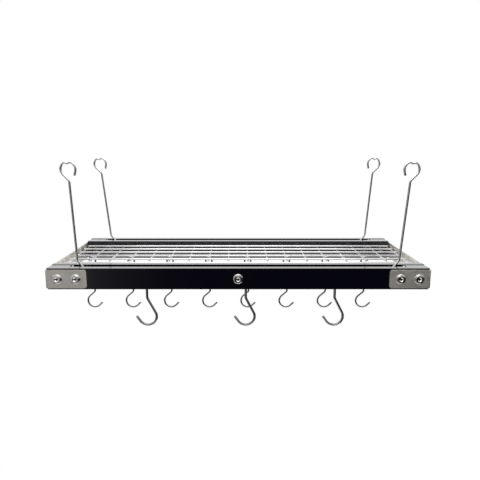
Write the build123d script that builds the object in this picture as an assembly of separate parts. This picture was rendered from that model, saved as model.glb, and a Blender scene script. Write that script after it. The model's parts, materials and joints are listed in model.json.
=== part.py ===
from build123d import *
import os
from math import atan2, cos, degrees, radians, sin, tan

# Hanging pot rack. Two black rails, each a pair of slats with a slot between them,
# are tied at the ends by folded steel straps. A wire grid fills the frame, four rods
# hang it from the ceiling, and wire hooks hang from the grid.
# X runs along the rack, -Y is the front and +Z is up, all in millimetres.
# The origin is midway between the four hang rods, about level with the seats in their eyes.

# Frame
RACK_LENGTH = 914.0
RACK_DEPTH = 382.0
RAIL_HEIGHT = 52.2
SLAT_THICK = 16.0
SLAT_EDGE = 0.4
SLOT_WIDTH = 22.0
BLOCK_DROP = 1.1

# End straps
STRAP_THICK = 3.0
STRAP_HEIGHT = 45.0
STRAP_BEND = 1.5
STRAP_RETURN = 95.5
STRAP_CORNER = 7.0

# Bolts through the rails, with their nuts, and the dressing of the centre bolts
BOLT_R = 4.0
BOLT_GAP = 0.2
BOLT_OUTER_INSET = 25.0
BOLT_INNER_INSET = 69.0
BOLT_TAIL = 2.0
HEAD_R = 9.8
HEAD_RIM = 1.6
HEAD_RISE = 4.4
HEAD_FACE_R = 8.0
MOUTH_R = 5.3
MOUTH_FLOOR_R = 3.2
MOUTH_DEPTH = 1.5
SOCKET_R = 2.9
SOCKET_DEPTH = 2.0
NUT_R = 7.5
NUT_THICK = 6.5
WASHER_R = 12.2
WASHER_THICK = 2.2
TUBE_R = 8.0

# All wire is drawn with this many flats round it
WIRE_FLATS = 8

# Wire grid: long wires lie on top of the cross wires, whose ends sit in the inner slats
GRID_WIRE_R = 2.5
GRID_DROP = 13.0
GRID_SIDE_GAP = 10.5
GRID_END_GAP = 6.8
GRID_SEAT_DEPTH = 8.0
LONG_WIRES = 7
CROSS_WIRES = 18

# Hang rods, each leaning out by its own angle as far as the block in its slot lets it
ROD_WIRE_R = 2.75
ROD_REACH = 269.5
ROD_LEANS = {"front_left": 2.2, "front_right": 4.2, "back_left": 5.7, "back_right": 4.1}
EYE_R = 17.5
EYE_NECK = 40.0
EYE_SHOULDER = 35.0
EYE_SEAT_SLOPE = 36.0
EYE_SEAT_R = 5.0
EYE_WRAP = 106.0
EYE_TIP = 12.0
FOOT_R = 16.3
FOOT_NECK = 32.0
FOOT_WRAP = 103.0
FOOT_TIP = 14.0
ROD_BEND = 11.0

# Grid hooks, hung over the cross wires
HOOK_WIRE_R = 2.4
HOOK_TOP_R = 8.2
HOOK_TOP_TIP = 8.0
HOOK_STEM = 88.5
HOOK_NECK = 45.0
HOOK_BEND = 6.0
HOOK_LOOP_R = 18.5
HOOK_LOOP_WRAP = 50.0
HOOK_LOOP_TIP = 11.0
HOOK_CELLS = 2
HOOK_START_WIRES = 1
HOOK_STEP_WIRES = 2
HOOKS = 8

# Pot hooks, hung over the front long wire and turned a quarter between their two ends,
# each beside a cross wire: its number, and the side of it that the hook hangs on
POT_WIRE_R = 3.3
POT_TOP_R = 6.7
POT_TOP_NECK = 30.0
POT_TOP_TIP = 5.0
POT_STEM = 67.1
POT_NECK = 27.5
POT_BEND = 14.0
POT_LOOP_R = 22.8
POT_LOOP_WRAP = 55.0
POT_LOOP_TIP = 17.0
POT_OFFSET = 7.0
POT_WIRES = ((4, 1), (9, -1), (13, 1))

# Play between pieces that swing on each other
SWING_GAP = 0.5

# Places worked out from the sizes above
END_X = RACK_LENGTH / 2
FACE_Y = RACK_DEPTH / 2
SLOT_Y = FACE_Y - SLAT_THICK - SLOT_WIDTH / 2
INNER_Y = FACE_Y - 2 * SLAT_THICK - SLOT_WIDTH
PIVOT_X = END_X - BOLT_INNER_INSET
CLAMP_X = END_X - BOLT_OUTER_INSET
PIVOT_Z = -ROD_REACH * cos(radians(sum(ROD_LEANS.values()) / len(ROD_LEANS)))
RAIL_TOP = PIVOT_Z + RAIL_HEIGHT / 2
RAIL_BOTTOM = RAIL_TOP - RAIL_HEIGHT
LONG_Z = RAIL_TOP - GRID_DROP
CROSS_Z = LONG_Z - 2 * GRID_WIRE_R
BORDER_Y = INNER_Y - GRID_SIDE_GAP
BORDER_X = END_X - GRID_END_GAP
LONG_PITCH = 2 * BORDER_Y / (LONG_WIRES - 1)
CROSS_PITCH = 2 * BORDER_X / (CROSS_WIRES - 1)
FOOT_CENTRE = FOOT_R - BOLT_R - SWING_GAP - ROD_WIRE_R
HOOK_Y = (HOOK_CELLS + 0.5) * LONG_PITCH - BORDER_Y

SIDES = {"front": -1, "back": 1}
ENDS = {"left": -1, "right": 1}


def cross_x(index):
    """Where a cross wire stands along the rack."""
    return index * CROSS_PITCH - BORDER_X


def hole_across(x, z, radius, near, far):
    """A round cutter along Y between two depths."""
    return Pos(x, near, z) * Rot(-90, 0, 0) * extrude(Circle(radius), far - near)


# Wire forms are drawn flat as (u, v), with the stem arriving along +v at the origin.
# Each returns its edges in order and is then laid on a plane.


def turn(centre, radius, start, end):
    """An arc about a point, between two angles measured from +v towards +u."""

    def at(angle):
        a = radians(angle)
        return (centre[0] + radius * sin(a), centre[1] + radius * cos(a))

    return ThreePointArc(at(start), at((start + end) / 2), at(end))


def run_on(edge, length):
    """A straight length that carries on from the end of an edge."""
    return Line(edge @ 1, (edge @ 1) + (edge % 1) * length)


def necked_loop(radius, neck, bend, crown, tip):
    """A loop centred on its stem: a bend, a sloping neck, the crown and a straight tip."""
    setback = bend * tan(radians(neck / 2))
    bend_arc = turn((bend, -setback), bend, -90, neck - 90)
    slope = run_on(bend_arc, radius / tan(radians(neck)) - setback)
    arcs = crown((0, radius / sin(radians(neck))), radius, 90 + neck)
    return [bend_arc, slope, *arcs, run_on(arcs[-1], tip)]


def plain_crown(wrap):
    """A crown that is one round arc, ending this far past its top."""
    return lambda centre, radius, start: [turn(centre, radius, start, -wrap)]


def seat_depths():
    """Radius of the eye's shoulders, and how far its seat lies above the eye's centre."""
    slope, side = radians(EYE_SEAT_SLOPE), radians(EYE_SHOULDER)
    across = EYE_R * sin(side) - EYE_SEAT_R * sin(slope)
    shoulder = across / (sin(side) + sin(slope))
    top = (EYE_R - shoulder) * cos(side) + shoulder
    return shoulder, top - (shoulder + EYE_SEAT_R) * (1 - cos(slope))


def seated_crown(centre, radius, start):
    """The eye's crown, with a dip between two shoulders for the ceiling hook."""
    shoulder, seat = seat_depths()
    offset = (radius - shoulder) * sin(radians(EYE_SHOULDER))
    rise = centre[1] + (radius - shoulder) * cos(radians(EYE_SHOULDER))
    dip = (centre[0], centre[1] + seat + EYE_SEAT_R)
    return [
        turn(centre, radius, start, EYE_SHOULDER),
        turn((offset, rise), shoulder, EYE_SHOULDER, -EYE_SEAT_SLOPE),
        turn(dip, EYE_SEAT_R, 180 - EYE_SEAT_SLOPE, 180 + EYE_SEAT_SLOPE),
        turn((-offset, rise), shoulder, EYE_SEAT_SLOPE, -EYE_SHOULDER),
        turn(centre, radius, -EYE_SHOULDER, -EYE_WRAP),
    ]


def wire_section(radius):
    """The wire's section, with flats square to its own axes."""
    return RegularPolygon(radius, WIRE_FLATS, major_radius=False, rotation=180 / WIRE_FLATS)


def wire_run(edge, radius, normal):
    """The wire along one edge: straight, or turned about the arc's own axis."""
    section = Plane(edge @ 0, x_dir=normal, z_dir=edge % 0) * wire_section(radius)
    if edge.geom_type == GeomType.LINE:
        return extrude(section, edge.length)
    hub = Axis(edge.arc_center, Vector(*(edge @ 0 - edge.arc_center)).cross(edge % 0))
    return revolve(section, hub, degrees(edge.length / edge.radius))


def draw_wire(radius, lower, upper):
    """Wire through a lower form, a straight stem and an upper form, each with its own normal."""
    (low_edges, low_normal), (high_edges, high_normal) = lower, upper
    stem = Line(low_edges[0] @ 0, high_edges[0] @ 0)
    runs = [wire_run(edge, radius, low_normal) for edge in [*low_edges, stem]]
    runs += [wire_run(edge, radius, high_normal) for edge in high_edges]
    return runs[0].fuse(*runs[1:])


def facing(origin, across, along):
    """The plane at a point whose u and v axes point these ways."""
    return Plane(origin, x_dir=across, z_dir=Vector(*across).cross(Vector(*along)))


def laid(plane, edges):
    """Flat edges laid on a plane, with the plane's normal."""
    return [plane * edge for edge in edges], plane.z_dir


def rail_slat(side, outer):
    """One slat: eased edges, bolt holes, clipped corners on an outer one, grid sockets in an inner one."""
    near, far = (FACE_Y - SLAT_THICK, FACE_Y) if outer else (INNER_Y, INNER_Y + SLAT_THICK)
    middle = side * (near + far) / 2
    slat = Pos(0, middle, PIVOT_Z) * Box(RACK_LENGTH, SLAT_THICK, RAIL_HEIGHT)
    slat = chamfer(slat.edges().filter_by(Axis.X), SLAT_EDGE)
    low, high = sorted((side * near, side * far))
    if outer:
        corner = [(END_X - STRAP_BEND, FACE_Y), (END_X, FACE_Y - STRAP_BEND), (END_X, FACE_Y)]
        cut = Pos(0, 0, RAIL_BOTTOM) * extrude(make_face(Polyline(*corner, close=True)), RAIL_HEIGHT)
        cut = cut if side > 0 else mirror(cut, Plane.XZ)
        slat -= [cut, mirror(cut, Plane.YZ)]
    for x in (-CLAMP_X, -PIVOT_X, 0, PIVOT_X, CLAMP_X):
        slat -= hole_across(x, PIVOT_Z, BOLT_R + BOLT_GAP, low, high)
    if not outer:
        start = side * INNER_Y
        end = side * (INNER_Y + GRID_SEAT_DEPTH)
        for index in range(CROSS_WIRES):
            x = cross_x(index)
            slat -= grid_wire((x, start, CROSS_Z), (x, end, CROSS_Z))
    return slat


def end_block(side, end, lean):
    """Filler in the slot at a rail's end, a little lower than the slats, that stops a rod at its lean."""
    height = RAIL_HEIGHT - BLOCK_DROP
    foot_reach = FOOT_CENTRE * sin(radians(lean)) + FOOT_R + ROD_WIRE_R
    length = BOLT_INNER_INSET - foot_reach - SWING_GAP
    middle = end * (END_X - length / 2)
    block = Pos(middle, side * SLOT_Y, RAIL_BOTTOM + height / 2) * Box(length, SLOT_WIDTH, height)
    low = side * SLOT_Y - SLOT_WIDTH / 2
    return block - hole_across(end * CLAMP_X, PIVOT_Z, BOLT_R + BOLT_GAP, low, low + SLOT_WIDTH)


def end_strap(end):
    """Flat bar folded round both rails, with rounded ends and bolt holes."""
    inside = RectangleRounded(RACK_LENGTH, RACK_DEPTH, STRAP_BEND)
    outside = offset(inside, STRAP_THICK)
    keep = Pos(end * END_X, 0) * Rectangle(2 * STRAP_RETURN, 2 * RACK_DEPTH)
    section = (outside - inside) & keep
    strap = Pos(0, 0, PIVOT_Z - STRAP_HEIGHT / 2) * extrude(section, STRAP_HEIGHT)
    tips = strap.edges().filter_by(Axis.Y).group_by(Axis.X)[0 if end > 0 else -1]
    strap = fillet(tips, STRAP_CORNER)
    reach = FACE_Y + STRAP_THICK
    for x in (end * CLAMP_X, end * PIVOT_X):
        strap -= hole_across(x, PIVOT_Z, BOLT_R + BOLT_GAP, -reach, reach)
    return strap


def socket_bolt(grip):
    """Wide bevelled head with a hexagon socket in a sloping mouth, seat at the origin, shank along +Z."""
    floor = MOUTH_DEPTH - HEAD_RISE
    outline = [(0, 0), (HEAD_R, 0), (HEAD_R, -HEAD_RIM), (HEAD_FACE_R, -HEAD_RISE), (MOUTH_R, -HEAD_RISE)]
    outline += [(MOUTH_FLOOR_R, floor), (0, floor)]
    head = revolve(Plane.XZ * make_face(Polyline(*outline, close=True)), Axis.Z)
    head -= Pos(0, 0, floor) * extrude(RegularPolygon(SOCKET_R, 6), SOCKET_DEPTH)
    return head + extrude(Circle(BOLT_R), grip + NUT_THICK + BOLT_TAIL)


def bolt_places(xs):
    """Every bolt's x and the side it is driven from."""
    return [(x, side) for side in SIDES.values() for x in xs]


def driven(piece, x, side, y):
    """A piece drawn along +Z, turned to point into the rail from its outer face."""
    return Pos(x, side * y, PIVOT_Z) * Rot(90 * side, 0, 0) * piece


def hex_nut():
    """Plain nut along +Z, corners up and down once it is driven."""
    return extrude(RegularPolygon(NUT_R, 6, rotation=90) - Circle(BOLT_R), NUT_THICK)


def ring(outer, inner, thick):
    """A flat ring along +Z."""
    return extrude(Circle(outer) - Circle(inner), thick)


def hang_rod():
    """Rod in its own frame: bolt axis at the origin, stem along +Z, foot bulging to +X."""
    foot_vertex = FOOT_CENTRE + FOOT_R / sin(radians(FOOT_NECK))
    eye_centre = ROD_REACH + ROD_WIRE_R - seat_depths()[1]
    eye_vertex = eye_centre - EYE_R / sin(radians(EYE_NECK))
    foot = necked_loop(FOOT_R, FOOT_NECK, ROD_BEND, plain_crown(FOOT_WRAP), FOOT_TIP)
    eye = necked_loop(EYE_R, EYE_NECK, ROD_BEND, seated_crown, EYE_TIP)
    lower = laid(facing((0, 0, foot_vertex), (1, 0, 0), (0, 0, -1)), foot)
    upper = laid(facing((0, 0, eye_vertex), (-1, 0, 0), (0, 0, 1)), eye)
    return draw_wire(ROD_WIRE_R, lower, upper)


def plumb(hook, axis):
    """Turn a hook about the wire that it hangs on, until its weight is below the wire."""
    weight = hook.center(CenterOf.MASS)
    across = axis.direction.cross(Vector(0, 0, 1))
    return hook.rotate(axis, degrees(atan2(weight.dot(across), -weight.Z)))


def grid_hook():
    """Hook in its own frame: its wire's axis is Y through the origin."""
    crown = GRID_WIRE_R + SWING_GAP + HOOK_WIRE_R
    top = [turn((-HOOK_TOP_R, 0), HOOK_TOP_R, 90, -90)]
    top.append(run_on(top[0], HOOK_TOP_TIP))
    start = (HOOK_TOP_R, 0, crown - HOOK_TOP_R)
    upper = laid(facing(start, (1, 0, 0), (0, 0, 1)), top)
    loop = necked_loop(HOOK_LOOP_R, HOOK_NECK, HOOK_BEND, plain_crown(HOOK_LOOP_WRAP), HOOK_LOOP_TIP)
    vertex = (HOOK_TOP_R, 0, crown - HOOK_TOP_R - HOOK_STEM)
    lower = laid(facing(vertex, (-1, 0, 0), (0, 0, -1)), loop)
    return plumb(draw_wire(HOOK_WIRE_R, lower, upper), Axis.Y)


def pot_hook():
    """Hook in its own frame: its wire's axis is X through the origin, its loop faces the front."""
    crown = GRID_WIRE_R + SWING_GAP + POT_WIRE_R
    top_vertex = crown - POT_TOP_R - POT_TOP_R / sin(radians(POT_TOP_NECK))
    top = necked_loop(POT_TOP_R, POT_TOP_NECK, POT_BEND, plain_crown(90), POT_TOP_TIP)
    upper = laid(facing((0, 0, top_vertex), (0, 1, 0), (0, 0, 1)), top)
    loop = necked_loop(POT_LOOP_R, POT_NECK, POT_BEND, plain_crown(POT_LOOP_WRAP), POT_LOOP_TIP)
    lower = laid(facing((0, 0, top_vertex - POT_STEM), (1, 0, 0), (0, 0, -1)), loop)
    return plumb(draw_wire(POT_WIRE_R, lower, upper), Axis.X)


def grid_wire(start, end):
    """A straight wire between two points."""
    way = Vector(*end) - Vector(*start)
    return extrude(Plane(start, x_dir=(0, 0, 1), z_dir=way) * wire_section(GRID_WIRE_R), way.length)


def wire_grid():
    """Cross wires from slat to slat with the long wires welded on top of them."""
    reach = INNER_Y + GRID_SEAT_DEPTH
    edge = BORDER_X + GRID_WIRE_R
    wires = []
    for index in range(CROSS_WIRES):
        x = cross_x(index)
        wires.append(grid_wire((x, -reach, CROSS_Z), (x, reach, CROSS_Z)))
    for index in range(LONG_WIRES):
        y = index * LONG_PITCH - BORDER_Y
        wires.append(grid_wire((-edge, y, LONG_Z), (edge, y, LONG_Z)))
    return wires


# Every piece by name. A list is a group of like pieces in one file.
pieces = {}

for side_name, side in SIDES.items():
    pieces[f"{side_name}_outer_slat"] = rail_slat(side, True)
    pieces[f"{side_name}_inner_slat"] = rail_slat(side, False)
    for end_name, end in ENDS.items():
        corner = f"{side_name}_{end_name}"
        pieces[f"{corner}_block"] = end_block(side, end, ROD_LEANS[corner])

for end_name, end in ENDS.items():
    pieces[f"{end_name}_strap"] = end_strap(end)

corner_xs = [-CLAMP_X, -PIVOT_X, PIVOT_X, CLAMP_X]
corner_y = FACE_Y + STRAP_THICK
centre_y = FACE_Y + WASHER_THICK
rail_depth = FACE_Y - INNER_Y
bolt = socket_bolt(rail_depth + STRAP_THICK)
pieces["strap_bolts"] = [driven(bolt, x, side, corner_y) for x, side in bolt_places(corner_xs)]
bolt = socket_bolt(rail_depth + WASHER_THICK)
pieces["centre_bolts"] = [driven(bolt, x, side, centre_y) for x, side in bolt_places([0])]
washer = ring(WASHER_R, BOLT_R + BOLT_GAP, WASHER_THICK)
pieces["centre_washers"] = [driven(washer, x, side, centre_y) for x, side in bolt_places([0])]
tube = ring(TUBE_R, BOLT_R + BOLT_GAP, SLOT_WIDTH)
tube_y = FACE_Y - SLAT_THICK
pieces["slot_tubes"] = [driven(tube, x, side, tube_y) for x, side in bolt_places([0])]
pieces["rail_nuts"] = [driven(hex_nut(), x, side, INNER_Y) for x, side in bolt_places([*corner_xs, 0])]

pieces["wire_grid"] = wire_grid()

rod = hang_rod()
for side_name, side in SIDES.items():
    for end_name, end in ENDS.items():
        corner = f"{side_name}_{end_name}"
        faced = rod if end < 0 else rod.rotate(Axis.Z, 180)
        leaning = faced.rotate(Axis.Y, end * ROD_LEANS[corner])
        pieces[f"{corner}_rod"] = Pos(end * PIVOT_X, side * SLOT_Y, PIVOT_Z) * leaning

hook = grid_hook()
for number in range(HOOKS):
    x = cross_x(HOOK_START_WIRES + number * HOOK_STEP_WIRES)
    pieces[f"grid_hook_{number + 1}"] = Pos(x, HOOK_Y, CROSS_Z) * hook

hook = pot_hook()
for number, (index, way) in enumerate(POT_WIRES):
    x = cross_x(index) + way * POT_OFFSET
    pieces[f"pot_hook_{number + 1}"] = Pos(x, -BORDER_Y, LONG_Z) * hook

os.makedirs("parts", exist_ok=True)
for name, piece in pieces.items():
    solids = piece if isinstance(piece, list) else [piece]
    export_step(Compound(children=[s for p in solids for s in p.solids()]), f"parts/{name}.step")
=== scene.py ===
import json
from math import atan2, cos, pi, radians, sin, tan

import bmesh
import bpy
from bpy.props import FloatProperty, FloatVectorProperty, IntProperty, PointerProperty
from mathutils import Matrix, Vector


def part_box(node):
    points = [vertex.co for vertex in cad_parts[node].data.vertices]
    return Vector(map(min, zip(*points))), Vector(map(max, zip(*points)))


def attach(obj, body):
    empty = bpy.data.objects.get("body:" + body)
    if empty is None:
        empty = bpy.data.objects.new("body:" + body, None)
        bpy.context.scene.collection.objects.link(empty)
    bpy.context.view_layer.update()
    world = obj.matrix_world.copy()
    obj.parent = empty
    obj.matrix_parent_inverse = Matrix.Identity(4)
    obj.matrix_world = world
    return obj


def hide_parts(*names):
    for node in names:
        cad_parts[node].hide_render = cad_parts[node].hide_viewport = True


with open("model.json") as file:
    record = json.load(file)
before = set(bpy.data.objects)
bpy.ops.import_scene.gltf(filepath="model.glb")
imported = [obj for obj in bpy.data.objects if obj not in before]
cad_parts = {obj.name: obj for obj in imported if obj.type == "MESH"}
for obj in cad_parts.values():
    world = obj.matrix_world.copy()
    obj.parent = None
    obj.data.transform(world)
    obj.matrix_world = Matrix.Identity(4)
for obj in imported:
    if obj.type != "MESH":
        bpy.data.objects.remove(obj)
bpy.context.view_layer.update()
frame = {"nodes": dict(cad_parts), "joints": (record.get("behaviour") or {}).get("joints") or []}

bl_info = {
    "name": "Hanging pot rack",
    "version": (1, 0, 0),
    "blender": (4, 5, 0),
    "location": "3D View > Sidebar > Pot Rack",
    "description": "Dresses a hanging pot rack in lacquer, brushed steel and chrome, and sets its stage",
    "category": "Object",
}

SIDES = {"front": -1, "back": 1}
ENDS = {"left": -1, "right": 1}
JOINTS = {joint["child"]: joint for joint in frame["joints"]}
GRID_HOOKS = sorted(name for name in JOINTS if name.startswith("grid_hook"))
POT_HOOKS = sorted(name for name in JOINTS if name.startswith("pot_hook"))
UP = Vector((0, 0, 1))

# How finely the meshes are drawn and shaded
ARC_STEP = radians(6)
SWELL_STEPS = 8
CHAMFER_STEPS = 5
EASE_SEGMENTS = 2
GRID_WIRE_SIDES = 20
BENT_WIRE_SIDES = 24
TURNED_SIDES = 48
NUT_SIDES = 72
SMOOTH_TURNED = radians(32)
SMOOTH_NUT = radians(20)
SMOOTH_WIRE = radians(60)
SHARP_EDGE = radians(30)
FLAT_ANGLE = radians(1)
SAME_POINT = 1e-6

# A face of at least this area, in square metres, or as square to an axis as this, is shaded flat
FLAT_AREA = 0.0001
SQUARE_ON = 0.99999

# A face whose normal has less than this along the bolt is a side wall
SIDEWAYS = 0.5

# Small forms, in metres or as shares of the piece that has them
SLAT_EASE = 0.0002
STRAP_EASE = 0.0004
TUBE_EASE = 0.0004
NUT_PLAY = 0.00001
WIRE_END_EASE = ((0.0, 0.55), (0.14, 0.84), (0.45, 1.0))
HEAD_SQUARENESS = 0.5
LIP_SHARE = 0.12
THREAD_ROOT = 0.9
TAIL_POINT = 0.84
NUT_FACE_SHARE = 0.97
NUT_CHAMFER_SHARE = 0.14
WELD_FLATNESS = 0.6

# Values of the finishes, with depths in metres
MID_GREY = 0.5
PATCH_SPREAD = 3
GRAIN_DEPTH = 0.000004
BRUSH_DEPTH = 0.00003

# The camera's sensor in millimetres, and where the lamps point, in metres
SENSOR_WIDTH = 36
LAMP_AIM = (0, 0, -0.27)

# Where the room turns bright: along Z, along Y, and towards the white card on the left
SKY_EDGE = (-0.02, 0.25)
BACK_EDGE = (0.55, 0.90)
CARD_WAY = Vector((-0.65, -0.72, -0.25))
GLOW_EDGE = (0.82, 1.0)
CARD_EDGE = (0.910, 0.928)


# Sizes and colours that a user would change


def size(label, text, millimetres):
    """A length that is written in millimetres."""
    return FloatProperty(
        name=label, description=text, default=millimetres / 1000, min=0, precision=5, unit="LENGTH"
    )


def turn_of(label, text, degrees):
    """An angle that is written in degrees."""
    return FloatProperty(name=label, description=text, default=radians(degrees), unit="ROTATION")


def tint(label, text, colour):
    """A colour of a finish, in linear light."""
    return FloatVectorProperty(
        name=label, description=text, default=colour, size=3, min=0, max=1, subtype="COLOR"
    )


def share(label, text, value, top=1.0):
    """A plain number with no unit, shown as a slider."""
    return FloatProperty(name=label, description=text, default=value, min=0, max=top, subtype="FACTOR")


class GridSizes(bpy.types.PropertyGroup):
    """The wire grid between the rails."""

    long_wires: IntProperty(name="Long wires", description="Wires along the rack", default=7, min=2)
    cross_wires: IntProperty(name="Cross wires", description="Wires across the rack", default=18, min=2)
    side_gap: size("Side gap", "From the inner slat to the first long wire's axis", 10.5)
    weld: size("Weld", "Half width of the weld at each crossing", 1.5)


class RodSizes(bpy.types.PropertyGroup):
    """The hang rods, measured on the wire's axis."""

    wire: size("Wire radius", "Half of the rod's diameter", 2.75)
    reach: size("Reach", "From the bolt's axis to the seat in the eye", 269.5)
    play: size("Play", "Between the foot and the bolt that carries it", 0.5)
    eye: size("Eye radius", "Radius of the eye", 17.5)
    eye_neck: turn_of("Eye neck", "Slope of the neck below the eye", 40)
    shoulder: turn_of("Shoulder", "Where the eye's shoulders start, from its top", 35)
    seat_slope: turn_of("Seat slope", "Slope of the dip between the shoulders", 36)
    seat: size("Seat radius", "Radius of the dip between the shoulders", 5)
    eye_wrap: turn_of("Eye wrap", "How far the eye goes on past its top", 106)
    eye_tip: size("Eye tip", "Straight end of the eye", 12)
    foot: size("Foot radius", "Radius of the foot loop", 16.3)
    foot_neck: turn_of("Foot neck", "Slope of the neck above the foot", 32)
    foot_wrap: turn_of("Foot wrap", "How far the foot goes on past its lowest point", 103)
    foot_tip: size("Foot tip", "Straight end of the foot", 14)
    bend: size("Bend", "Radius of the bends in the stem", 11)


class GridHookSizes(bpy.types.PropertyGroup):
    """The small hooks on the cross wires."""

    wire: size("Wire radius", "Half of the hook wire's diameter", 2.4)
    play: size("Play", "Between the hook and the wire that carries it", 0.5)
    top: size("Top radius", "Radius of the crook over the cross wire", 8.2)
    top_tip: size("Top tip", "Straight end of the crook", 8)
    stem: size("Stem", "Straight length between crook and bend", 88.5)
    neck: turn_of("Neck", "Slope of the neck above the loop", 45)
    bend: size("Bend", "Radius of the bend below the stem", 6)
    loop: size("Loop radius", "Radius of the loop", 18.5)
    wrap: turn_of("Wrap", "How far the loop goes on past its lowest point", 50)
    tip: size("Tip", "Straight end of the loop", 11)


class PotHookSizes(bpy.types.PropertyGroup):
    """The large hooks on the front long wire."""

    wire: size("Wire radius", "Half of the hook wire's diameter", 3.3)
    play: size("Play", "Between the hook and the wire that carries it", 0.5)
    top: size("Top radius", "Radius of the crook over the long wire", 6.7)
    top_neck: turn_of("Top neck", "Slope of the neck below the crook", 30)
    top_tip: size("Top tip", "Straight end of the crook", 5)
    stem: size("Stem", "Length between the two bends", 67.1)
    neck: turn_of("Neck", "Slope of the neck above the loop", 27.5)
    bend: size("Bend", "Radius of the bends in the stem", 14)
    loop: size("Loop radius", "Radius of the loop", 22.8)
    wrap: turn_of("Wrap", "How far the loop goes on past its lowest point", 55)
    tip: size("Tip", "Straight end of the loop", 17)


class BoltSizes(bpy.types.PropertyGroup):
    """Bolts, nuts, washers and tubes."""

    shank: size("Shank radius", "Half of the bolt's diameter", 4)
    head: size("Head radius", "Radius of the bolt's head", 9.8)
    rim: size("Head rim", "Height of the head's upright rim", 1.6)
    rise: size("Head rise", "Height of the whole head", 4.4)
    face: size("Head face", "Outer radius of the head's flat face", 8)
    mouth: size("Mouth", "Radius of the sloping mouth in the face", 5.3)
    mouth_floor: size("Mouth floor", "Radius of the mouth's floor", 3.2)
    mouth_depth: size("Mouth depth", "Depth of the mouth", 1.5)
    socket: size("Socket", "Corner radius of the hexagon socket", 2.9)
    socket_depth: size("Socket depth", "Depth of the socket below the mouth", 2)
    inset: size("Inset", "From the rail's end to the outer bolt", 25)
    nut: size("Nut radius", "Corner radius of the nut", 7.5)
    nut_thick: size("Nut thickness", "Thickness of the nut", 6.5)
    tail: size("Tail", "How far the bolt passes the nut", 2)
    pitch: size("Thread pitch", "Pitch of the thread on the tail", 1.25)
    washer: size("Washer radius", "Radius of the centre bolt's washer", 12.2)
    washer_thick: size("Washer thickness", "Thickness of that washer", 2.2)
    tube: size("Tube radius", "Radius of the tube in the slot", 8)
    gap: size("Hole gap", "Between the shank and a hole", 0.2)


class RackColours(bpy.types.PropertyGroup):
    """Colours of the finishes."""

    lacquer: tint("Lacquer", "Black lacquer of the rails", (0.0006, 0.0004, 0.0042))
    lacquer_grain: tint("Lacquer grain", "Where the grain shows through", (0.0014, 0.0011, 0.0060))
    strap: tint("Strap", "Brushed steel of the straps", (0.890, 0.855, 0.790))
    strap_dark: tint("Strap scratches", "Dark lines in the brushed steel", (0.705, 0.680, 0.630))
    bolt: tint("Bolt", "Plating of the bolts and washers", (0.78, 0.77, 0.75))
    # The socket colour is painted shade: a dark tone that stands in for the shade inside the bolts'
    # sockets.
    socket: tint("Socket", "Dull metal in the sockets of the bolts", (0.10, 0.10, 0.10))
    nut: tint("Nut", "Zinc on the nuts and tubes", (0.60, 0.60, 0.61))
    grid: tint("Grid", "Chrome of the grid", (0.90, 0.90, 0.91))
    rod: tint("Rod", "Chrome of the rods", (0.80, 0.80, 0.81))
    hook: tint("Hook", "Chrome of the hooks", (0.42, 0.42, 0.425))


class StageSizes(bpy.types.PropertyGroup):
    """Camera, floor and light."""

    lens: FloatProperty(
        name="Lens", description="Focal length on a 36 mm sensor", default=36.51, min=1, unit="CAMERA"
    )
    pitch: turn_of("Pitch", "How far the camera looks down", 11.242)
    height: size("Height", "Camera above the origin", 49.1)
    back_off: size("Distance", "Camera in front of the origin", 1313.4)
    shift: FloatProperty(name="Shift", description="Sideways shift of the lens", default=0.004)
    floor_drop: size("Floor", "Floor below the origin", 2000)
    floor_size: size("Floor size", "Side of the floor", 3000)
    floor_grey: share("Floor grey", "Grey of the floor", 0.45)
    floor_glow: share("Floor glow", "What makes the floor white to the camera and to bright metal", 0.75)
    sky_level: share("Sky level", "Brightness of the room above the rack", 1.0, 4)
    back_level: share("Back level", "Brightness of the room behind the rack", 1.3, 4)
    low_level: share("Low level", "Brightness of the room low in front", 0.025, 4)
    glow_level: share("Glow level", "Brightness of the glow round the white card", 0.27, 4)
    card_level: share("Card level", "Brightness of the white card low on the left", 0.58, 4)


class PotRack(bpy.types.PropertyGroup):
    """Everything that the operators read."""

    grid: PointerProperty(type=GridSizes)
    rod: PointerProperty(type=RodSizes)
    grid_hook: PointerProperty(type=GridHookSizes)
    pot_hook: PointerProperty(type=PotHookSizes)
    bolt: PointerProperty(type=BoltSizes)
    colour: PointerProperty(type=RackColours)
    stage: PointerProperty(type=StageSizes)


# Node groups that several finishes share


def new_group(name, inputs, outputs):
    """An empty shader group with named float sockets, and its two ends."""
    tree = bpy.data.node_groups.new(name, "ShaderNodeTree")
    for label, value in inputs.items():
        socket = tree.interface.new_socket(label, in_out="INPUT", socket_type="NodeSocketFloat")
        socket.default_value = value
    for label in outputs:
        tree.interface.new_socket(label, in_out="OUTPUT", socket_type="NodeSocketFloat")
    return tree, tree.nodes.new("NodeGroupInput"), tree.nodes.new("NodeGroupOutput")


def node(tree, kind, values=None, **settings):
    """A new node with its settings and the values of its unlinked sockets."""
    made = tree.nodes.new(kind)
    for label, value in settings.items():
        setattr(made, label, value)
    for label, value in (values or {}).items():
        made.inputs[label].default_value = value
    return made


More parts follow.
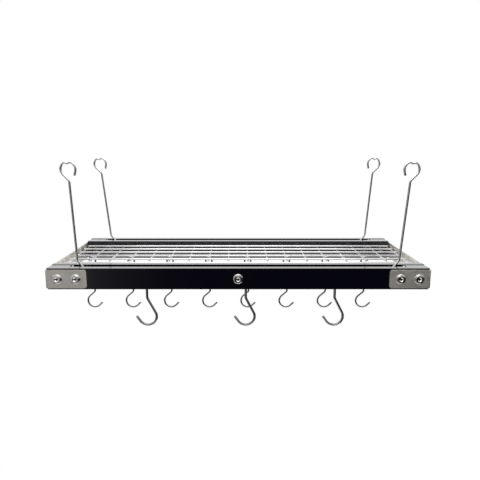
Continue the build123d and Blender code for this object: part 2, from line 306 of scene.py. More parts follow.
def streak_group():
    """Fine lines along X, as left by a brush, a plane or a drawing die."""
    tree, given, out = new_group(
        "streak_lines", {"Along": 12.0, "Across": 900.0, "Contrast": 0.5}, ("Lines", "Height")
    )
    place = node(tree, "ShaderNodeTexCoord")
    scale = node(tree, "ShaderNodeCombineXYZ")
    spread = node(tree, "ShaderNodeVectorMath", operation="MULTIPLY")
    noise = node(tree, "ShaderNodeTexNoise", {"Scale": 1.0, "Detail": 3.0, "Roughness": 0.6})
    centred = node(tree, "ShaderNodeMath", {1: MID_GREY}, operation="SUBTRACT")
    lines = node(tree, "ShaderNodeMath", {2: MID_GREY}, operation="MULTIPLY_ADD")
    tree.links.new(given.outputs["Along"], scale.inputs["X"])
    tree.links.new(given.outputs["Across"], scale.inputs["Y"])
    tree.links.new(given.outputs["Across"], scale.inputs["Z"])
    tree.links.new(place.outputs["Object"], spread.inputs[0])
    tree.links.new(scale.outputs["Vector"], spread.inputs[1])
    tree.links.new(spread.outputs["Vector"], noise.inputs["Vector"])
    tree.links.new(noise.outputs["Fac"], centred.inputs[0])
    tree.links.new(centred.outputs["Value"], lines.inputs[0])
    tree.links.new(given.outputs["Contrast"], lines.inputs[1])
    tree.links.new(lines.outputs["Value"], out.inputs["Lines"])
    tree.links.new(noise.outputs["Fac"], out.inputs["Height"])
    return tree


def smudge_group():
    """Soft uneven patches where metal or lacquer has been handled."""
    tree, given, out = new_group(
        "handling_smudge", {"Scale": 20.0, "Low": 0.1, "High": 0.2}, ("Roughness",)
    )
    place = node(tree, "ShaderNodeTexCoord")
    noise = node(tree, "ShaderNodeTexNoise", {"Detail": 4.0, "Roughness": 0.55})
    spread = node(tree, "ShaderNodeMapRange", {"From Min": 0.3, "From Max": 0.7})
    tree.links.new(place.outputs["Object"], noise.inputs["Vector"])
    tree.links.new(given.outputs["Scale"], noise.inputs["Scale"])
    tree.links.new(noise.outputs["Fac"], spread.inputs["Value"])
    tree.links.new(given.outputs["Low"], spread.inputs["To Min"])
    tree.links.new(given.outputs["High"], spread.inputs["To Max"])
    tree.links.new(spread.outputs["Result"], out.inputs["Roughness"])
    return tree


def streaks():
    """The group of fine lines, built the first time that a finish asks for it."""
    return bpy.data.node_groups.get("streak_lines") or streak_group()


def smudges():
    """The group of soft patches, built the first time that a finish asks for it."""
    return bpy.data.node_groups.get("handling_smudge") or smudge_group()


# Finishes


def new_finish(name, **constants):
    """A material with a Principled shader whose constant sockets are set on the shader itself."""
    finish = bpy.data.materials.new(name)
    finish.use_nodes = True
    shader = finish.node_tree.nodes["Principled BSDF"]
    for label, value in constants.items():
        shader.inputs[label.replace("_", " ")].default_value = value
    return finish, finish.node_tree, shader


def place_group(tree, group, **values):
    """A shared group placed in a material with its own values."""
    placed = node(tree, "ShaderNodeGroup", node_tree=group)
    for label, value in values.items():
        placed.inputs[label].default_value = value
    return placed


def blend_colours(tree, shader, mask, first, second):
    """Base colour that goes from one colour to another with a mask."""
    mix = node(tree, "ShaderNodeMix", data_type="RGBA")
    mix.inputs["A"].default_value = (*first, 1)
    mix.inputs["B"].default_value = (*second, 1)
    tree.links.new(mask, mix.inputs["Factor"])
    tree.links.new(mix.outputs["Result"], shader.inputs["Base Color"])


def add_bump(tree, shader, height, depth):
    """Bump of a depth in metres."""
    bump = node(tree, "ShaderNodeBump", {"Strength": 1.0, "Distance": depth})
    tree.links.new(height, bump.inputs["Height"])
    tree.links.new(bump.outputs["Normal"], shader.inputs["Normal"])


def rail_lacquer(colour):
    """Satin black lacquer over fine straight grain."""
    finish, tree, shader = new_finish(
        "rail_lacquer", Specular_IOR_Level=0.45, Coat_Weight=1.0, Coat_IOR=1.45, Coat_Roughness=0.07
    )
    grain = place_group(tree, streaks(), Along=9.0, Across=420.0, Contrast=1.3)
    smudge = place_group(tree, smudges(), Scale=14.0, Low=0.12, High=0.18)
    blend_colours(tree, shader, grain.outputs["Lines"], colour.lacquer, colour.lacquer_grain)
    tree.links.new(smudge.outputs["Roughness"], shader.inputs["Roughness"])
    add_bump(tree, shader, grain.outputs["Height"], GRAIN_DEPTH)
    return finish


def brushed_strap(colour):
    """Stainless steel brushed along the bar."""
    finish, tree, shader = new_finish("brushed_strap", Metallic=1.0)
    lines = place_group(tree, streaks(), Along=45.0, Across=1500.0, Contrast=1.5)
    smudge = place_group(tree, smudges(), Scale=45.0, Low=0.45, High=0.53)
    blend_colours(tree, shader, lines.outputs["Lines"], colour.strap, colour.strap_dark)
    tree.links.new(smudge.outputs["Roughness"], shader.inputs["Roughness"])
    add_bump(tree, shader, lines.outputs["Height"], BRUSH_DEPTH)
    return finish


def plated(name, colour, low, high, scale, dulled=0.86):
    """Bright plated metal, a little duller in patches."""
    finish, tree, shader = new_finish(name, Metallic=1.0)
    smudge = place_group(tree, smudges(), Scale=scale, Low=low, High=high)
    patches = place_group(tree, smudges(), Scale=scale / PATCH_SPREAD, Low=0.0, High=1.0)
    blend_colours(tree, shader, patches.outputs["Roughness"], colour, tuple(c * dulled for c in colour))
    tree.links.new(smudge.outputs["Roughness"], shader.inputs["Roughness"])
    return finish


# Meshes


def arc(centre, radius, start, end):
    """Points on an arc in (u, v), between two angles measured from +v towards +u."""
    steps = max(2, round(abs(end - start) / ARC_STEP))
    angles = [start + (end - start) * i / steps for i in range(steps + 1)]
    return [Vector((centre[0] + radius * sin(a), centre[1] + radius * cos(a))) for a in angles]


def plain_crown(wrap):
    """A crown that is one round arc, ending this far past its top."""
    return lambda centre, radius, start: (arc(centre, radius, start, -wrap), -wrap)


def seat_depths(rod):
    """Radius of the eye's shoulders, and how far its seat lies above the eye's centre."""
    across = rod.eye * sin(rod.shoulder) - rod.seat * sin(rod.seat_slope)
    shoulder = across / (sin(rod.shoulder) + sin(rod.seat_slope))
    top = (rod.eye - shoulder) * cos(rod.shoulder) + shoulder
    return shoulder, top - (shoulder + rod.seat) * (1 - cos(rod.seat_slope))


def seated_crown(rod):
    """The eye's crown, with a dip between two shoulders for the ceiling hook."""

    def crown(centre, radius, start):
        shoulder, seat = seat_depths(rod)
        offset = (radius - shoulder) * sin(rod.shoulder)
        rise = centre[1] + (radius - shoulder) * cos(rod.shoulder)
        dip = (centre[0], centre[1] + seat + rod.seat)
        points = arc(centre, radius, start, rod.shoulder)
        points += arc((offset, rise), shoulder, rod.shoulder, -rod.seat_slope)
        points += arc(dip, rod.seat, pi - rod.seat_slope, pi + rod.seat_slope)
        points += arc((-offset, rise), shoulder, rod.seat_slope, -rod.shoulder)
        points += arc(centre, radius, -rod.shoulder, -rod.eye_wrap)
        return points, -rod.eye_wrap

    return crown


def straight_end(points, angle, length):
    """The points with a straight length added, in the direction of an arc that ends at this angle."""
    return points + [points[-1] + length * Vector((-cos(angle), sin(angle)))]


def necked_loop(radius, neck, bend, crown, tip):
    """A loop centred on its stem: a bend, a sloping neck, the crown and a straight tip."""
    setback = bend * tan(neck / 2)
    points = arc((bend, -setback), bend, -pi / 2, neck - pi / 2)
    crowned, last = crown((0, radius / sin(neck)), radius, pi / 2 + neck)
    return straight_end(points + crowned, last, tip)


def laid(points, origin, across, along):
    """Flat points laid in space."""
    return [Vector(origin) + Vector(across) * p.x + Vector(along) * p.y for p in points]


def wire_through(lower, upper):
    """One route from the lower form's tip, up the stem, to the upper form's tip."""
    route = [*reversed(lower), *upper]
    return [p for i, p in enumerate(route) if i == 0 or (p - route[i - 1]).length > SAME_POINT]


def plumb(route, axis):
    """A hook's route turned about its wire until its weight is below the wire."""
    runs = [(b - a).length for a, b in zip(route, route[1:])]
    middles = [(a + b) / 2 for a, b in zip(route, route[1:])]
    weight = sum((m * r for m, r in zip(middles, runs)), Vector()) / sum(runs)
    angle = atan2(weight.dot(axis.cross(UP)), -weight.z)
    return [Matrix.Rotation(angle, 3, axis) @ p for p in route]


def ring_frames(route):
    """Direction and two side directions at each point of a route, turned as little as possible."""
    ways = [(b - a).normalized() for a, b in zip(route, route[1:])]
    along = [ways[0], *((a + b).normalized() for a, b in zip(ways, ways[1:])), ways[-1]]
    side = along[0].orthogonal().normalized()
    frames = []
    for way in along:
        side = (side - way * side.dot(way)).normalized()
        frames.append((way, side, way.cross(side)))
    return frames


def add_wire(mesh, route, radius, sides):
    """A round wire along a route, with eased ends, added to a mesh."""
    frames = ring_frames(route)
    first = frames[0]
    last = frames[-1]
    rows = [(route[0] + first[0] * radius * s, first, radius * k) for s, k in WIRE_END_EASE]
    rows += [(p, f, radius) for p, f in zip(route[1:-1], frames[1:-1])]
    rows += [(route[-1] - last[0] * radius * s, last, radius * k) for s, k in reversed(WIRE_END_EASE)]
    rings = []
    for centre, (_, side, other), r in rows:
        turns = [2 * pi * i / sides for i in range(sides)]
        rings.append([mesh.verts.new(centre + (side * cos(t) + other * sin(t)) * r) for t in turns])
    join_rings(mesh, rings)
    mesh.faces.new(reversed(rings[0]))
    mesh.faces.new(rings[-1])


def join_rings(mesh, rings, closed=False):
    """Faces between neighbouring rings of points, and from the last back to the first if closed."""
    pairs = list(zip(rings, rings[1:]))
    if closed:
        pairs.append((rings[-1], rings[0]))
    for low, high in pairs:
        for i in range(len(low)):
            j = (i + 1) % len(low)
            mesh.faces.new((low[i], low[j], high[j], high[i]))


def hexagon(corner):
    """Radius of a hexagon by angle, for a corner radius."""
    flat = corner * cos(pi / 6)
    return lambda t: flat / cos((t % (pi / 3)) - pi / 6)


def turned_rings(mesh, rows, at, sides):
    """Rings about an axis. A row is a height and a radius, or a radius for each angle."""
    rings = []
    for height, radius in rows:
        ring = []
        for i in range(sides):
            t = 2 * pi * i / sides
            r = radius(t) if callable(radius) else radius
            ring.append(mesh.verts.new(at @ Vector((r * cos(t), r * sin(t), height))))
        rings.append(ring)
    return rings


def add_turned(mesh, rows, at):
    """A turned solid along +Z with flat ends, added to a mesh and placed by a matrix."""
    rings = turned_rings(mesh, rows, at, TURNED_SIDES)
    join_rings(mesh, rings)
    mesh.faces.new(reversed(rings[0]))
    mesh.faces.new(rings[-1])


def add_ring(mesh, rows, at, sides=TURNED_SIDES):
    """A turned ring with a bore: its rows go right round the section."""
    join_rings(mesh, turned_rings(mesh, rows, at, sides), closed=True)


def finished_piece(name, mesh, finish, body, nodes, smooth=SMOOTH_TURNED):
    """The mesh as a piece that rides on a body and stands for CAD nodes, if any."""
    bmesh.ops.recalc_face_normals(mesh, faces=mesh.faces)
    data = bpy.data.meshes.new(name)
    mesh.to_mesh(data)
    mesh.free()
    data.materials.append(finish)
    data.shade_smooth()
    data.set_sharp_from_angle(angle=smooth)
    piece = bpy.data.objects.new(name, data)
    bpy.context.scene.collection.objects.link(piece)
    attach(piece, body)
    if nodes:
        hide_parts(*nodes)
    return piece


def eased_copy(name, finish, body, width):
    """A CAD node's solid with its sharp edges eased and its flat faces kept flat, to stand for it."""
    mesh = bmesh.new()
    mesh.from_mesh(frame["nodes"][name].data)
    bmesh.ops.remove_doubles(mesh, verts=mesh.verts, dist=SAME_POINT)
    bmesh.ops.dissolve_limit(mesh, angle_limit=FLAT_ANGLE, verts=mesh.verts, edges=mesh.edges)
    sharp = [e for e in mesh.edges if len(e.link_faces) == 2 and e.calc_face_angle() > SHARP_EDGE]
    bmesh.ops.bevel(
        mesh,
        geom=sharp,
        offset=width,
        segments=EASE_SEGMENTS,
        profile=0.5,
        affect="EDGES",
        clamp_overlap=True,
    )
    piece = finished_piece(f"{name}_eased", mesh, finish, body, [name])
    for face in piece.data.polygons:
        squarely = max(abs(part) for part in face.normal)
        face.use_smooth = face.area < FLAT_AREA and squarely < SQUARE_ON
    return piece


# Operators, one for each piece or group of like pieces


class RACK_OT_rails(bpy.types.Operator):
    """Lacquer the slats and the blocks of both rails and ease their edges"""

    bl_idname = "rack.rails"
    bl_label = "Rails"
    bl_options = {"REGISTER", "UNDO"}

    def execute(self, context):
        rack = context.scene.pot_rack
        finish = rail_lacquer(rack.colour)
        for side in SIDES:
            names = [f"{side}_outer_slat", f"{side}_inner_slat", *(f"{side}_{end}_block" for end in ENDS)]
            for name in names:
                eased_copy(name, finish, "frame", SLAT_EASE)
        return {"FINISHED"}


class RACK_OT_straps(bpy.types.Operator):
    """Brush the folded end straps and ease their edges"""

    bl_idname = "rack.straps"
    bl_label = "Straps"
    bl_options = {"REGISTER", "UNDO"}

    def execute(self, context):
        rack = context.scene.pot_rack
        finish = brushed_strap(rack.colour)
        for end in ENDS:
            eased_copy(f"{end}_strap", finish, "frame", STRAP_EASE)
        return {"FINISHED"}


def driven(x, side, y, z):
    """Where a piece drawn along +Z goes to point into a rail from its outer face."""
    return Matrix.Translation((x, side * y, z)) @ Matrix.Rotation(side * pi / 2, 4, "X")


def bolt_rows(bolt, grip):
    """A bolt from the floor of its socket, over its head and down its shank to its threaded tail."""
    key = hexagon(bolt.socket)
    floor = bolt.mouth_depth - bolt.rise
    lip = (bolt.mouth - bolt.mouth_floor) * LIP_SHARE
    rows = [(floor + bolt.socket_depth, key), (floor, key), (floor, bolt.mouth_floor)]
    rows += [(lip - bolt.rise, bolt.mouth - lip), (-bolt.rise, bolt.mouth + lip)]
    rows.append((-bolt.rise, bolt.mouth + 2 * lip))
    for i in range(SWELL_STEPS + 1):
        a = pi / 2 * i / SWELL_STEPS
        rim_drop = (bolt.rise - bolt.rim) * (1 - cos(a) ** HEAD_SQUARENESS)
        swell = (bolt.head - bolt.face) * sin(a) ** HEAD_SQUARENESS
        rows.append((rim_drop - bolt.rise, bolt.face + swell))
    rows += [(0, bolt.head), (0, bolt.shank)]
    start = grip + bolt.nut_thick
    rows.append((start, bolt.shank))
    turns = int(bolt.tail / bolt.pitch * 2)
    for i in range(turns):
        depth = THREAD_ROOT if i % 2 == 0 else 1.0
        rows.append((start + (i + 0.5) * bolt.pitch / 2, bolt.shank * depth))
    rows.append((start + bolt.tail, bolt.shank * TAIL_POINT))
    return rows


def washer_rows(bolt, bore):
    """Section of a washer whose outer edge is rounded over."""
    turns = [pi / 2 * i / SWELL_STEPS for i in range(SWELL_STEPS + 1)]
    inner = bolt.washer - bolt.washer_thick
    rim = [(bolt.washer_thick * (1 - cos(a)), inner + bolt.washer_thick * sin(a)) for a in turns]
    return [(0, bore), *rim, (bolt.washer_thick, bore)]


def bolt_xs(rack):
    """Where the strap bolts stand along the rack: at the rods' pivots and near the rail's ends."""
    end_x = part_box("front_outer_slat")[1].x
    pivots = sorted({round(JOINTS[f"front_{end}_rod"]["pos_m"][0], 6) for end in ENDS})
    return [-end_x + rack.bolt.inset, *pivots, end_x - rack.bolt.inset]


def paint_socket_shade(bolts, bolt, socket_shade_finish, xs, z):
    """Give the sockets in the bolts' heads a dark finish: painted shade in the recesses."""
    bolts.data.materials.append(socket_shade_finish)
    for face in bolts.data.polygons:
        across = min(abs(face.center.x - x) for x in xs)
        radius = Vector((across, face.center.z - z)).length
        on_floor = radius < bolt.socket / 2 and face.normal.y * face.center.y > 0
        on_wall = radius < bolt.socket and abs(face.normal.y) < SIDEWAYS
        if on_floor or on_wall:
            face.material_index = 1


class RACK_OT_bolts(bpy.types.Operator):
    """Turn the bolts with their socket heads and threaded tails, and their washers and collars"""

    bl_idname = "rack.bolts"
    bl_label = "Bolts"
    bl_options = {"REGISTER", "UNDO"}

    def execute(self, context):
        rack = context.scene.pot_rack
        bolt = rack.bolt
        finish = plated("bolt_plating", rack.colour.bolt, low=0.06, high=0.13, scale=240.0)
        # A dark finish for the sockets' floors and walls: painted shade inside the recesses.
        socket_shade_finish = plated("socket_painted_shade", rack.colour.socket, low=0.3, high=0.5, scale=240.0)
        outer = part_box("back_outer_slat")[1].y
        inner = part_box("back_inner_slat")[0].y
        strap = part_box("left_strap")[1].y - outer
        z = JOINTS["front_left_rod"]["pos_m"][2]
        xs = bolt_xs(rack)
        thick = bolt.washer_thick
        mesh = bmesh.new()
        for side in SIDES.values():
            for x in xs:
                add_turned(mesh, bolt_rows(bolt, outer - inner + strap), driven(x, side, outer + strap, z))
        bolts = finished_piece("strap_bolt_set", mesh, finish, "frame", ["strap_bolts"])
        paint_socket_shade(bolts, bolt, socket_shade_finish, xs, z)
        mesh = bmesh.new()
        for side in SIDES.values():
            add_turned(mesh, bolt_rows(bolt, outer - inner + thick), driven(0, side, outer + thick, z))
        bolts = finished_piece("centre_bolt_set", mesh, finish, "frame", ["centre_bolts"])
        paint_socket_shade(bolts, bolt, socket_shade_finish, [0], z)
        rows = washer_rows(bolt, bolt.shank + bolt.gap)
        mesh = bmesh.new()
        for side in SIDES.values():
            add_ring(mesh, rows, driven(0, side, outer + thick, z))
        finished_piece("centre_washer_set", mesh, finish, "frame", ["centre_washers"])
        rows = washer_rows(bolt, bolt.head + bolt.gap / 2)
        mesh = bmesh.new()
        for side in SIDES.values():
            for x in xs:
                add_ring(mesh, rows, driven(x, side, outer + strap + thick, z))
        finished_piece("strap_collar_set", mesh, finish, "frame", [])
        return {"FINISHED"}


class RACK_OT_nuts(bpy.types.Operator):
    """Shape the nuts on the inner faces of the rails and the tubes in their slots"""

    bl_idname = "rack.nuts"
    bl_label = "Nuts and tubes"
    bl_options = {"REGISTER", "UNDO"}

    def execute(self, context):
        rack = context.scene.pot_rack
        bolt = rack.bolt
        finish = plated("zinc_plating", rack.colour.nut, low=0.22, high=0.36, scale=200.0)
        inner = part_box("back_inner_slat")[0].y
        z = JOINTS["front_left_rod"]["pos_m"][2]
        corner = hexagon(bolt.nut)
        face = bolt.nut * cos(pi / 6) * NUT_FACE_SHARE
        thick = bolt.nut_thick

        def cut_back(part):
            limit = face + (bolt.nut - face) * part
            return lambda t: min(corner(t), limit)

        chamfer = thick * NUT_CHAMFER_SHARE
        parts = [i / CHAMFER_STEPS for i in range(CHAMFER_STEPS + 1)]
        outer = [(chamfer * part, cut_back(part)) for part in parts]
        outer += [(thick - h, r) for h, r in reversed(outer)]
        bore = bolt.shank + NUT_PLAY
        rows = [(bolt.gap * 2, bore), (0, bore + bolt.gap * 2), *outer, (thick, bore + bolt.gap * 2)]
        rows.append((thick - bolt.gap * 2, bore))
        mesh = bmesh.new()
        for side in SIDES.values():
            for x in [*bolt_xs(rack), 0]:
                add_ring(mesh, rows, driven(x, side, inner, z) @ Matrix.Rotation(pi / 2, 4, "Z"), NUT_SIDES)
        finished_piece("rail_nut_set", mesh, finish, "frame", ["rail_nuts"], SMOOTH_NUT)
        outer_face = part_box("slot_tubes")[1].y
        slot = outer_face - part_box("back_inner_slat")[1].y
        bore = bolt.shank + bolt.gap
        eased = bolt.tube - TUBE_EASE
        rows = [(0, bore), (0, eased), (TUBE_EASE, bolt.tube), (slot - TUBE_EASE, bolt.tube)]
        rows += [(slot, eased), (slot, bore)]
        mesh = bmesh.new()
        for side in SIDES.values():
            add_ring(mesh, rows, driven(0, side, outer_face, z))
        finished_piece("slot_tube_set", mesh, finish, "frame", ["slot_tubes"])
        return {"FINISHED"}


class RACK_OT_grid(bpy.types.Operator):
    """Draw the round wires of the grid and the welds at their crossings"""

    bl_idname = "rack.grid"
    bl_label = "Grid"
    bl_options = {"REGISTER", "UNDO"}

    def execute(self, context):
        rack = context.scene.pot_rack
        grid = rack.grid
        finish = plated("grid_chrome", rack.colour.grid, low=0.16, high=0.24, scale=60.0)
        low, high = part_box("wire_grid")
        radius = (high.z - low.z) / 4
        border_x = high.x - radius
        border_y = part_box("back_inner_slat")[0].y - grid.side_gap
        xs = [border_x * (2 * i / (grid.cross_wires - 1) - 1) for i in range(grid.cross_wires)]
        ys = [border_y * (2 * i / (grid.long_wires - 1) - 1) for i in range(grid.long_wires)]
        low_z = low.z + radius
        high_z = high.z - radius
        mesh = bmesh.new()
        for x in xs:
            across = [Vector((x, y, low_z)) for y in (low.y, 0, high.y)]
            add_wire(mesh, across, radius, GRID_WIRE_SIDES)
        for y in ys:
            along = [Vector((x, y, high_z)) for x in (low.x, 0, high.x)]
            add_wire(mesh, along, radius, GRID_WIRE_SIDES)
        middle = (low_z + high_z) / 2
        flatten = Matrix.Diagonal((1, 1, WELD_FLATNESS, 1))
        for x in xs:
            for y in ys:
                at = Matrix.Translation((x, y, middle)) @ flatten
                bmesh.ops.create_icosphere(mesh, subdivisions=2, radius=grid.weld, matrix=at)
        finished_piece("grid_wires", mesh, finish, "frame", ["wire_grid"], SMOOTH_WIRE)
        return {"FINISHED"}


class RACK_OT_rods(bpy.types.Operator):
    """Bend the four hang rods, each from its foot on a bolt to the seated eye at its top"""

    bl_idname = "rack.rods"
    bl_label = "Hang rods"
    bl_options = {"REGISTER", "UNDO"}

    def execute(self, context):
        rack = context.scene.pot_rack
        rod = rack.rod
        finish = plated("rod_chrome", rack.colour.rod, low=0.18, high=0.28, scale=70.0)
        foot_centre = rod.foot - rack.bolt.shank - rod.play - rod.wire
        foot_vertex = foot_centre + rod.foot / sin(rod.foot_neck)
        eye_centre = rod.reach + rod.wire - seat_depths(rod)[1]
        eye_vertex = eye_centre - rod.eye / sin(rod.eye_neck)
        foot = necked_loop(rod.foot, rod.foot_neck, rod.bend, plain_crown(rod.foot_wrap), rod.foot_tip)
        eye = necked_loop(rod.eye, rod.eye_neck, rod.bend, seated_crown(rod), rod.eye_tip)
        lower = laid(foot, (0, 0, foot_vertex), (1, 0, 0), (0, 0, -1))
        upper = laid(eye, (0, 0, eye_vertex), (-1, 0, 0), (0, 0, 1))
        route = wire_through(lower, upper)
        for side in SIDES:
            for end_name, end in ENDS.items():
                name = f"{side}_{end_name}_rod"
                faced = Matrix.Rotation(0 if end < 0 else pi, 4, "Z")
                lean = radians(JOINTS[name]["range_deg"][1] - 90)
                leaning = Matrix.Rotation(end * lean, 4, "Y") @ faced
                at = Matrix.Translation(JOINTS[name]["pos_m"]) @ leaning
                mesh = bmesh.new()
                add_wire(mesh, [at @ p for p in route], rod.wire, BENT_WIRE_SIDES)
                finished_piece(f"{name}_round", mesh, finish, name, [name], SMOOTH_WIRE)
        return {"FINISHED"}


def hang(names, route, radius, finish):
    """One round hook for each name, on the wire that carries it."""
    for name in names:
        place = Vector(JOINTS[name]["pos_m"])
        mesh = bmesh.new()
        add_wire(mesh, [place + p for p in route], radius, BENT_WIRE_SIDES)
        finished_piece(f"{name}_round", mesh, finish, name, [name], SMOOTH_WIRE)


class RACK_OT_grid_hooks(bpy.types.Operator):
    """Bend the small hooks and hang them over their cross wires"""

    bl_idname = "rack.grid_hooks"
    bl_label = "Grid hooks"
    bl_options = {"REGISTER", "UNDO"}

    def execute(self, context):
        rack = context.scene.pot_rack
        hook = rack.grid_hook
        low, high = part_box("wire_grid")
        crown = (high.z - low.z) / 4 + hook.play + hook.wire
        top = straight_end(arc((-hook.top, 0), hook.top, pi / 2, -pi / 2), -pi / 2, hook.top_tip)
        upper = laid(top, (hook.top, 0, crown - hook.top), (1, 0, 0), (0, 0, 1))
        loop = necked_loop(hook.loop, hook.neck, hook.bend, plain_crown(hook.wrap), hook.tip)
        lower = laid(loop, (hook.top, 0, crown - hook.top - hook.stem), (-1, 0, 0), (0, 0, -1))
        route = plumb(wire_through(lower, upper), Vector((0, 1, 0)))
        finish = plated("hook_chrome", rack.colour.hook, low=0.06, high=0.12, scale=110.0)
        hang(GRID_HOOKS, route, hook.wire, finish)
        return {"FINISHED"}


class RACK_OT_pot_hooks(bpy.types.Operator):
    """Bend the large hooks, with a quarter turn in their stems, and hang them on the front long wire"""

    bl_idname = "rack.pot_hooks"
    bl_label = "Pot hooks"
    bl_options = {"REGISTER", "UNDO"}

    def execute(self, context):
        rack = context.scene.pot_rack
        hook = rack.pot_hook
        low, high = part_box("wire_grid")
        crown = (high.z - low.z) / 4 + hook.play + hook.wire
        vertex = crown - hook.top - hook.top / sin(hook.top_neck)
        top = necked_loop(hook.top, hook.top_neck, hook.bend, plain_crown(pi / 2), hook.top_tip)
        upper = laid(top, (0, 0, vertex), (0, 1, 0), (0, 0, 1))
        loop = necked_loop(hook.loop, hook.neck, hook.bend, plain_crown(hook.wrap), hook.tip)
        lower = laid(loop, (0, 0, vertex - hook.stem), (1, 0, 0), (0, 0, -1))
        route = plumb(wire_through(lower, upper), Vector((1, 0, 0)))
        finish = plated("pot_hook_chrome", rack.colour.hook, low=0.06, high=0.12, scale=90.0)
        hang(POT_HOOKS, route, hook.wire, finish)
        return {"FINISHED"}


# Stage


def floor_finish(stage):
    """Pale floor that the camera and bright metal see as white, with the rack's shadow left on it."""
    grey = stage.floor_grey
    finish, tree, shader = new_finish("stage_floor", Roughness=0.9, Base_Color=(grey, grey, grey, 1))
    path = node(tree, "ShaderNodeLightPath")
    glow = node(tree, "ShaderNodeEmission", {"Strength": stage.floor_glow})
    add = node(tree, "ShaderNodeAddShader")
    mix = node(tree, "ShaderNodeMixShader")
    out = tree.nodes["Material Output"]
    tree.links.new(shader.outputs["BSDF"], add.inputs[0])
    tree.links.new(glow.outputs["Emission"], add.inputs[1])
    mirrored = brighter(tree, path.outputs["Is Glossy Ray"], path.outputs["Is Transmission Ray"])
    tree.links.new(brighter(tree, path.outputs["Is Camera Ray"], mirrored), mix.inputs["Fac"])
    tree.links.new(shader.outputs["BSDF"], mix.inputs[1])
    tree.links.new(add.outputs["Shader"], mix.inputs[2])
    tree.links.new(mix.outputs["Shader"], out.inputs["Surface"])
    return finish


def ramp(tree, value, edge, first, last):
    """A smooth change of brightness across an edge, which has a start and an end."""
    limits = {"From Min": edge[0], "From Max": edge[1], "To Min": first, "To Max": last}
    made = node(tree, "ShaderNodeMapRange", limits, interpolation_type="SMOOTHSTEP")
    tree.links.new(value, made.inputs["Value"])
    return made.outputs["Result"]


def brighter(tree, first, second):
    """The larger of two values."""
    made = node(tree, "ShaderNodeMath", operation="MAXIMUM")
    tree.links.new(first, made.inputs[0])
    tree.links.new(second, made.inputs[1])
    return made.outputs["Value"]


def room_light(stage):
    """White above and behind the rack, dim low in front but for a white card, and white to the camera."""
    world = bpy.data.worlds.new("room")
    world.use_nodes = True
    tree = world.node_tree
    tree.nodes.clear()
    place = node(tree, "ShaderNodeTexCoord")
    split = node(tree, "ShaderNodeSeparateXYZ")
    room = node(tree, "ShaderNodeBackground")
    white = node(tree, "ShaderNodeBackground", {"Color": (1, 1, 1, 1), "Strength": 1.0})
    path = node(tree, "ShaderNodeLightPath")
    mix = node(tree, "ShaderNodeMixShader")
    out = node(tree, "ShaderNodeOutputWorld")
    tree.links.new(place.outputs["Generated"], split.inputs["Vector"])
    above = ramp(tree, split.outputs["Z"], SKY_EDGE, 0, stage.sky_level)
    behind = ramp(tree, split.outputs["Y"], BACK_EDGE, 0, stage.back_level)
    to_card = node(tree, "ShaderNodeVectorMath", {1: CARD_WAY.normalized()}, operation="DOT_PRODUCT")
    tree.links.new(place.outputs["Generated"], to_card.inputs[0])
    glow = ramp(tree, to_card.outputs["Value"], GLOW_EDGE, stage.low_level, stage.glow_level)
    card = ramp(tree, to_card.outputs["Value"], CARD_EDGE, 0, stage.card_level)
    level = brighter(tree, brighter(tree, above, behind), brighter(tree, glow, card))
    seen = brighter(tree, path.outputs["Is Camera Ray"], path.outputs["Is Transmission Ray"])
    tree.links.new(level, room.inputs["Strength"])
    tree.links.new(seen, mix.inputs["Fac"])
    tree.links.new(room.outputs["Background"], mix.inputs[1])
    tree.links.new(white.outputs["Background"], mix.inputs[2])
    tree.links.new(mix.outputs["Shader"], out.inputs["Surface"])
    bpy.context.scene.world = world


def soft_box(name, place, width, height, power):
    """A soft rectangular lamp that points at the rack."""
    lamp = bpy.data.lights.new(name, "AREA")
    lamp.shape = "RECTANGLE"
    lamp.size = width
    lamp.size_y = height
    lamp.energy = power
    stand = bpy.data.objects.new(name, lamp)
    stand.location = place
    stand.rotation_euler = (Vector(LAMP_AIM) - Vector(place)).to_track_quat("-Z", "Y").to_euler()
    bpy.context.scene.collection.objects.link(stand)


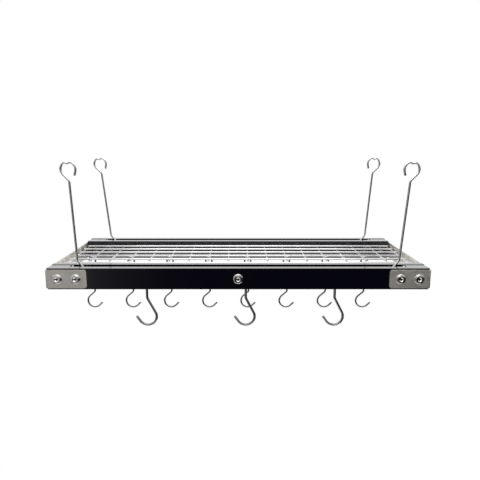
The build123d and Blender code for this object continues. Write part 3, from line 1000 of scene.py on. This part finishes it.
class RACK_OT_stage(bpy.types.Operator):
    """Set the camera, the floor, the room and the lamps"""

    bl_idname = "rack.stage"
    bl_label = "Stage"
    bl_options = {"REGISTER", "UNDO"}

    def execute(self, context):
        scene = context.scene
        stage = scene.pot_rack.stage
        scene.view_settings.view_transform = "Standard"
        lens = bpy.data.cameras.new("front_camera")
        lens.lens = stage.lens
        lens.sensor_width = SENSOR_WIDTH
        lens.shift_x = stage.shift
        camera = bpy.data.objects.new("front_camera", lens)
        camera.location = (0, -stage.back_off, stage.height)
        camera.rotation_euler = (pi / 2 - stage.pitch, 0, 0)
        scene.collection.objects.link(camera)
        scene.camera = camera
        mesh = bmesh.new()
        bmesh.ops.create_grid(mesh, x_segments=1, y_segments=1, size=stage.floor_size / 2)
        data = bpy.data.meshes.new("floor")
        mesh.to_mesh(data)
        mesh.free()
        data.materials.append(floor_finish(stage))
        floor = bpy.data.objects.new("floor", data)
        floor.location.z = -stage.floor_drop
        scene.collection.objects.link(floor)
        room_light(stage)
        soft_box("top_box", place=(0, -0.2, 1.4), width=2.4, height=1.4, power=18)
        soft_box("front_box", place=(0, -2.2, 1.4), width=1.6, height=0.8, power=8)
        return {"FINISHED"}


class RACK_PT_panel(bpy.types.Panel):
    """The rack's pieces, in the order they are made"""

    bl_label = "Pot rack"
    bl_idname = "RACK_PT_panel"
    bl_space_type = "VIEW_3D"
    bl_region_type = "UI"
    bl_category = "Pot Rack"

    def draw(self, context):
        for operator in OPERATORS:
            self.layout.operator(operator.bl_idname)


OPERATORS = (
    RACK_OT_rails,
    RACK_OT_straps,
    RACK_OT_bolts,
    RACK_OT_nuts,
    RACK_OT_grid,
    RACK_OT_rods,
    RACK_OT_grid_hooks,
    RACK_OT_pot_hooks,
    RACK_OT_stage,
)
GROUPS = (GridSizes, RodSizes, GridHookSizes, PotHookSizes, BoltSizes, RackColours, StageSizes, PotRack)


def register():
    for item in (*GROUPS, *OPERATORS, RACK_PT_panel):
        bpy.utils.register_class(item)
    bpy.types.Scene.pot_rack = PointerProperty(type=PotRack)


def unregister():
    del bpy.types.Scene.pot_rack
    for item in reversed((*GROUPS, *OPERATORS, RACK_PT_panel)):
        bpy.utils.unregister_class(item)


def main():
    """Make every piece in order."""
    register()
    bpy.ops.rack.rails()
    bpy.ops.rack.straps()
    bpy.ops.rack.bolts()
    bpy.ops.rack.nuts()
    bpy.ops.rack.grid()
    bpy.ops.rack.rods()
    bpy.ops.rack.grid_hooks()
    bpy.ops.rack.pot_hooks()
    bpy.ops.rack.stage()


if __name__ == "__main__":
    main()
